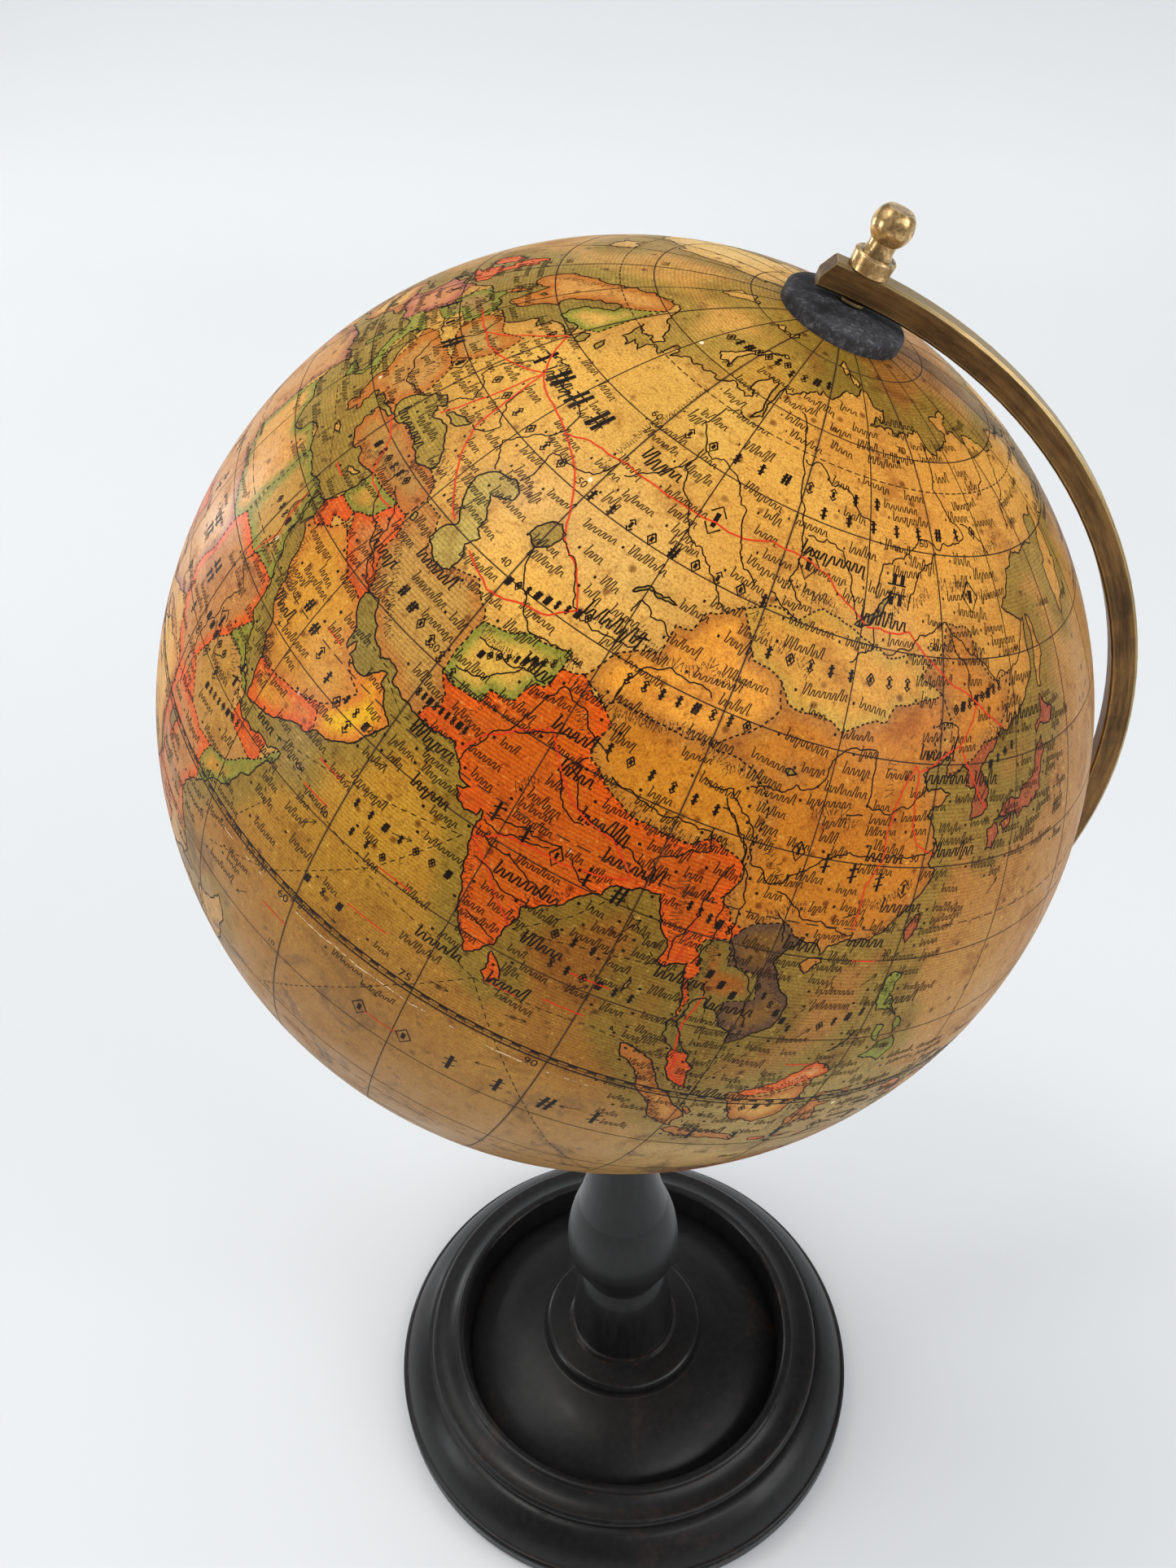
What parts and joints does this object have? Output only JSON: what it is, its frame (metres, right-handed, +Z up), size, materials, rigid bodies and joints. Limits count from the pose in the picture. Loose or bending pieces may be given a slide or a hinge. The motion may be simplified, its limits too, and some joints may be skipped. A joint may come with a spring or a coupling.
{
  "type": "desktop globe on stand",
  "caption": "Terrestrial globe of papered gores that spins on a tilted axis in a brass half-meridian arm, on a turned ebonised wood column and round foot.",
  "frame": {"origin": "centre of the baize pad's underside, on the surface the globe stands on", "axes": "+Z up along the column, +X horizontal towards the side that the north pole leans to, +Y completes the frame"},
  "size_m": [0.2129, 0.2032, 0.4097],
  "materials": {
    "printed_paper": "varnished, aged amber",
    "plaster_shell": "matte",
    "lap_paper": "matte",
    "plain_wood": "matte",
    "ebonised_wood": "satin",
    "aged_brass": "aged satin",
    "brass": "worn polished",
    "steel": "satin",
    "baize": "matte"
  },
  "bodies": {
    "stand": {"axis_rod": "steel", "washer_north": "brass", "washer_south": "brass", "finial_collar": "brass", "finial_knob": "brass", "south_washer": "brass", "south_nut": "brass", "meridian_arm": "aged_brass", "arm_screw": "brass", "column": "ebonised_wood", "column_ferrule": "aged_brass", "base": "ebonised_wood", "base_screw": "steel", "baize_pad": "baize"},
    "globe": {"gore_01": "printed_paper", "gore_02": "printed_paper", "gore_03": "printed_paper", "gore_04": "printed_paper", "gore_05": "printed_paper", "gore_06": "printed_paper", "gore_07": "printed_paper", "gore_08": "printed_paper", "gore_09": "printed_paper", "gore_10": "printed_paper", "gore_11": "printed_paper", "gore_12": "printed_paper", "shell_north": "plaster_shell", "shell_south": "plaster_shell", "equator_strip": "lap_paper", "core_post": "plain_wood", "pole_bush_north": "brass", "pole_bush_south": "brass", "polar_cap_north": "ebonised_wood", "polar_cap_south": "ebonised_wood"}
  },
  "joints": [
    {"name": "globe_spin", "type": "hinge", "parent": "stand", "child": "globe", "pos_m": [0, 0, 0.296], "axis": [0.3987, 0, 0.9171], "continuous": true}
  ]
}
